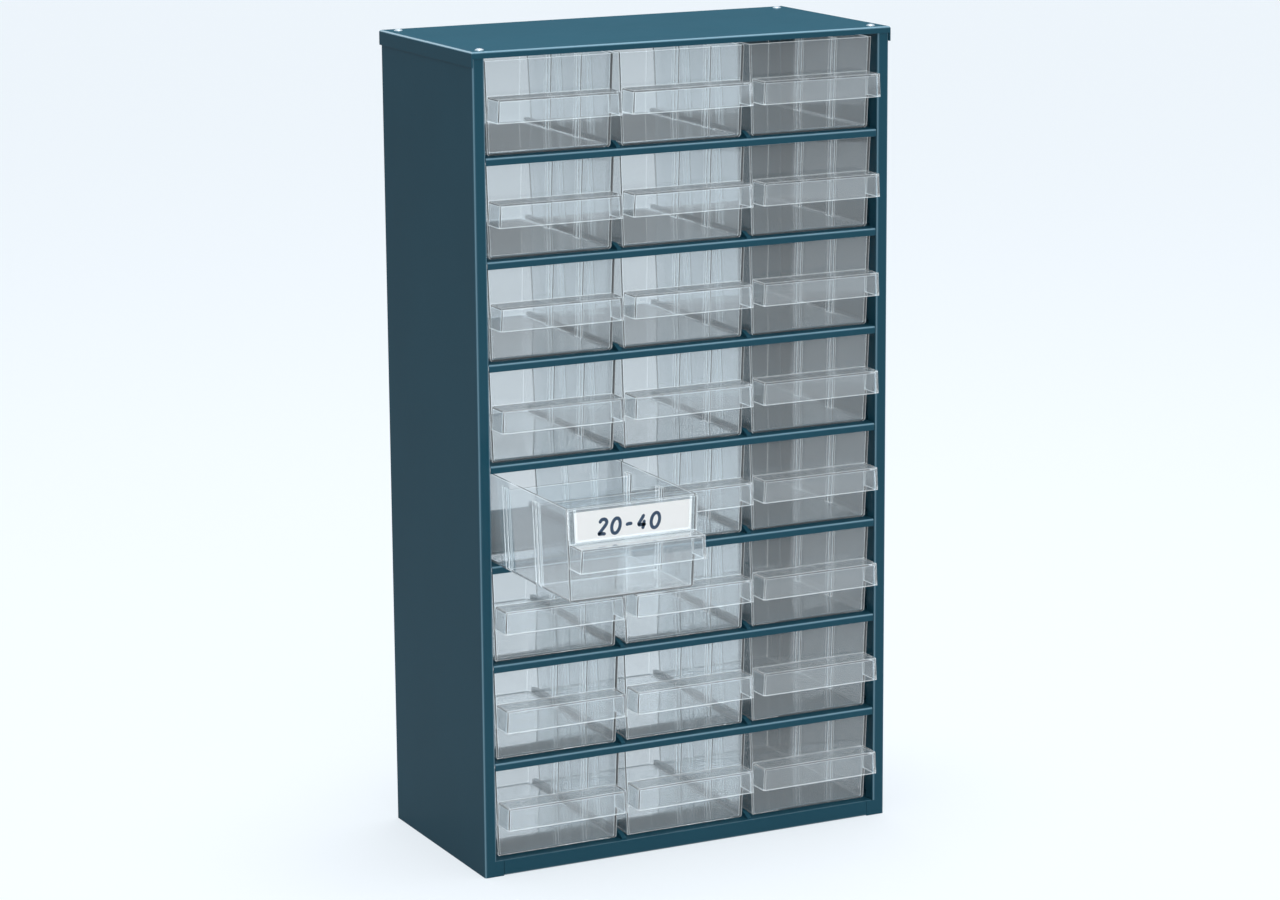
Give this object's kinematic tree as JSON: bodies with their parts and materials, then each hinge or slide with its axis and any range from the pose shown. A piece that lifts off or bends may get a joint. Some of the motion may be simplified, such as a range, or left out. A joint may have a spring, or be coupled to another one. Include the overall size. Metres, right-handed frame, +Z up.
{
  "type": "parts bin cabinet",
  "caption": "Folded sheet-steel cabinet with rows of clear plastic drawers, each with a box-shaped pull; one drawer stands open with dividers and a label card.",
  "frame": {"origin": "middle of the flat face that the cabinet stands on, halfway between its front flanges and its rear flanges", "axes": "+X to the right seen from the front, +Y from the drawer fronts to the open back, +Z up"},
  "size_m": [0.3076, 0.2773, 0.5531],
  "materials": {
    "blue_steel": "satin powder coat, petrol blue",
    "rivet_metal": "dull",
    "clear_drawer": "clear injection-moulded polystyrene",
    "clear_insert": "clear injection-moulded polystyrene",
    "label_paper": "white card"
  },
  "bodies": {
    "cabinet": {"side_panel_left": "blue_steel", "side_panel_right": "blue_steel", "top_cover": "blue_steel", "base_tray": "blue_steel", "cover_rivets": "rivet_metal", "shelf_1": "blue_steel", "shelf_2": "blue_steel", "shelf_3": "blue_steel", "shelf_4": "blue_steel", "shelf_5": "blue_steel", "shelf_6": "blue_steel", "shelf_7": "blue_steel", "shelf_8": "blue_steel", "drawer_guides": "blue_steel"},
    "drawer_r1c1": {"drawer_r1c1": "clear_drawer"},
    "drawer_r1c2": {"drawer_r1c2": "clear_drawer"},
    "drawer_r1c3": {"drawer_r1c3": "clear_drawer"},
    "drawer_r2c1": {"drawer_r2c1": "clear_drawer"},
    "drawer_r2c2": {"drawer_r2c2": "clear_drawer"},
    "drawer_r2c3": {"drawer_r2c3": "clear_drawer"},
    "drawer_r3c1": {"drawer_r3c1": "clear_drawer"},
    "drawer_r3c2": {"drawer_r3c2": "clear_drawer"},
    "drawer_r3c3": {"drawer_r3c3": "clear_drawer"},
    "drawer_r4c1": {"drawer_r4c1": "clear_drawer"},
    "drawer_r4c2": {"drawer_r4c2": "clear_drawer"},
    "drawer_r4c3": {"drawer_r4c3": "clear_drawer"},
    "drawer_r5c1": {"drawer_r5c1": "clear_drawer", "divider_front": "clear_insert", "divider_rear": "clear_insert", "label_holder": "clear_insert", "label_card": "label_paper"},
    "drawer_r5c2": {"drawer_r5c2": "clear_drawer"},
    "drawer_r5c3": {"drawer_r5c3": "clear_drawer"},
    "drawer_r6c1": {"drawer_r6c1": "clear_drawer"},
    "drawer_r6c2": {"drawer_r6c2": "clear_drawer"},
    "drawer_r6c3": {"drawer_r6c3": "clear_drawer"},
    "drawer_r7c1": {"drawer_r7c1": "clear_drawer"},
    "drawer_r7c2": {"drawer_r7c2": "clear_drawer"},
    "drawer_r7c3": {"drawer_r7c3": "clear_drawer"},
    "drawer_r8c1": {"drawer_r8c1": "clear_drawer"},
    "drawer_r8c2": {"drawer_r8c2": "clear_drawer"},
    "drawer_r8c3": {"drawer_r8c3": "clear_drawer"}
  },
  "joints": [
    {"name": "slide_r1c1", "type": "slide", "parent": "cabinet", "child": "drawer_r1c1", "axis": [0, -1, 0], "range_m": [0, 0.116]},
    {"name": "slide_r1c2", "type": "slide", "parent": "cabinet", "child": "drawer_r1c2", "axis": [0, -1, 0], "range_m": [0, 0.116]},
    {"name": "slide_r1c3", "type": "slide", "parent": "cabinet", "child": "drawer_r1c3", "axis": [0, -1, 0], "range_m": [0, 0.116]},
    {"name": "slide_r2c1", "type": "slide", "parent": "cabinet", "child": "drawer_r2c1", "axis": [0, -1, 0], "range_m": [0, 0.116]},
    {"name": "slide_r2c2", "type": "slide", "parent": "cabinet", "child": "drawer_r2c2", "axis": [0, -1, 0], "range_m": [0, 0.116]},
    {"name": "slide_r2c3", "type": "slide", "parent": "cabinet", "child": "drawer_r2c3", "axis": [0, -1, 0], "range_m": [0, 0.116]},
    {"name": "slide_r3c1", "type": "slide", "parent": "cabinet", "child": "drawer_r3c1", "axis": [0, -1, 0], "range_m": [0, 0.116]},
    {"name": "slide_r3c2", "type": "slide", "parent": "cabinet", "child": "drawer_r3c2", "axis": [0, -1, 0], "range_m": [0, 0.116]},
    {"name": "slide_r3c3", "type": "slide", "parent": "cabinet", "child": "drawer_r3c3", "axis": [0, -1, 0], "range_m": [0, 0.116]},
    {"name": "slide_r4c1", "type": "slide", "parent": "cabinet", "child": "drawer_r4c1", "axis": [0, -1, 0], "range_m": [0, 0.116]},
    {"name": "slide_r4c2", "type": "slide", "parent": "cabinet", "child": "drawer_r4c2", "axis": [0, -1, 0], "range_m": [0, 0.116]},
    {"name": "slide_r4c3", "type": "slide", "parent": "cabinet", "child": "drawer_r4c3", "axis": [0, -1, 0], "range_m": [0, 0.116]},
    {"name": "slide_r5c1", "type": "slide", "parent": "cabinet", "child": "drawer_r5c1", "axis": [0, -1, 0], "range_m": [-0.116, 0]},
    {"name": "slide_r5c2", "type": "slide", "parent": "cabinet", "child": "drawer_r5c2", "axis": [0, -1, 0], "range_m": [0, 0.116]},
    {"name": "slide_r5c3", "type": "slide", "parent": "cabinet", "child": "drawer_r5c3", "axis": [0, -1, 0], "range_m": [0, 0.116]},
    {"name": "slide_r6c1", "type": "slide", "parent": "cabinet", "child": "drawer_r6c1", "axis": [0, -1, 0], "range_m": [0, 0.116]},
    {"name": "slide_r6c2", "type": "slide", "parent": "cabinet", "child": "drawer_r6c2", "axis": [0, -1, 0], "range_m": [0, 0.116]},
    {"name": "slide_r6c3", "type": "slide", "parent": "cabinet", "child": "drawer_r6c3", "axis": [0, -1, 0], "range_m": [0, 0.116]},
    {"name": "slide_r7c1", "type": "slide", "parent": "cabinet", "child": "drawer_r7c1", "axis": [0, -1, 0], "range_m": [0, 0.116]},
    {"name": "slide_r7c2", "type": "slide", "parent": "cabinet", "child": "drawer_r7c2", "axis": [0, -1, 0], "range_m": [0, 0.116]},
    {"name": "slide_r7c3", "type": "slide", "parent": "cabinet", "child": "drawer_r7c3", "axis": [0, -1, 0], "range_m": [0, 0.116]},
    {"name": "slide_r8c1", "type": "slide", "parent": "cabinet", "child": "drawer_r8c1", "axis": [0, -1, 0], "range_m": [0, 0.116]},
    {"name": "slide_r8c2", "type": "slide", "parent": "cabinet", "child": "drawer_r8c2", "axis": [0, -1, 0], "range_m": [0, 0.116]},
    {"name": "slide_r8c3", "type": "slide", "parent": "cabinet", "child": "drawer_r8c3", "axis": [0, -1, 0], "range_m": [0, 0.116]}
  ]
}
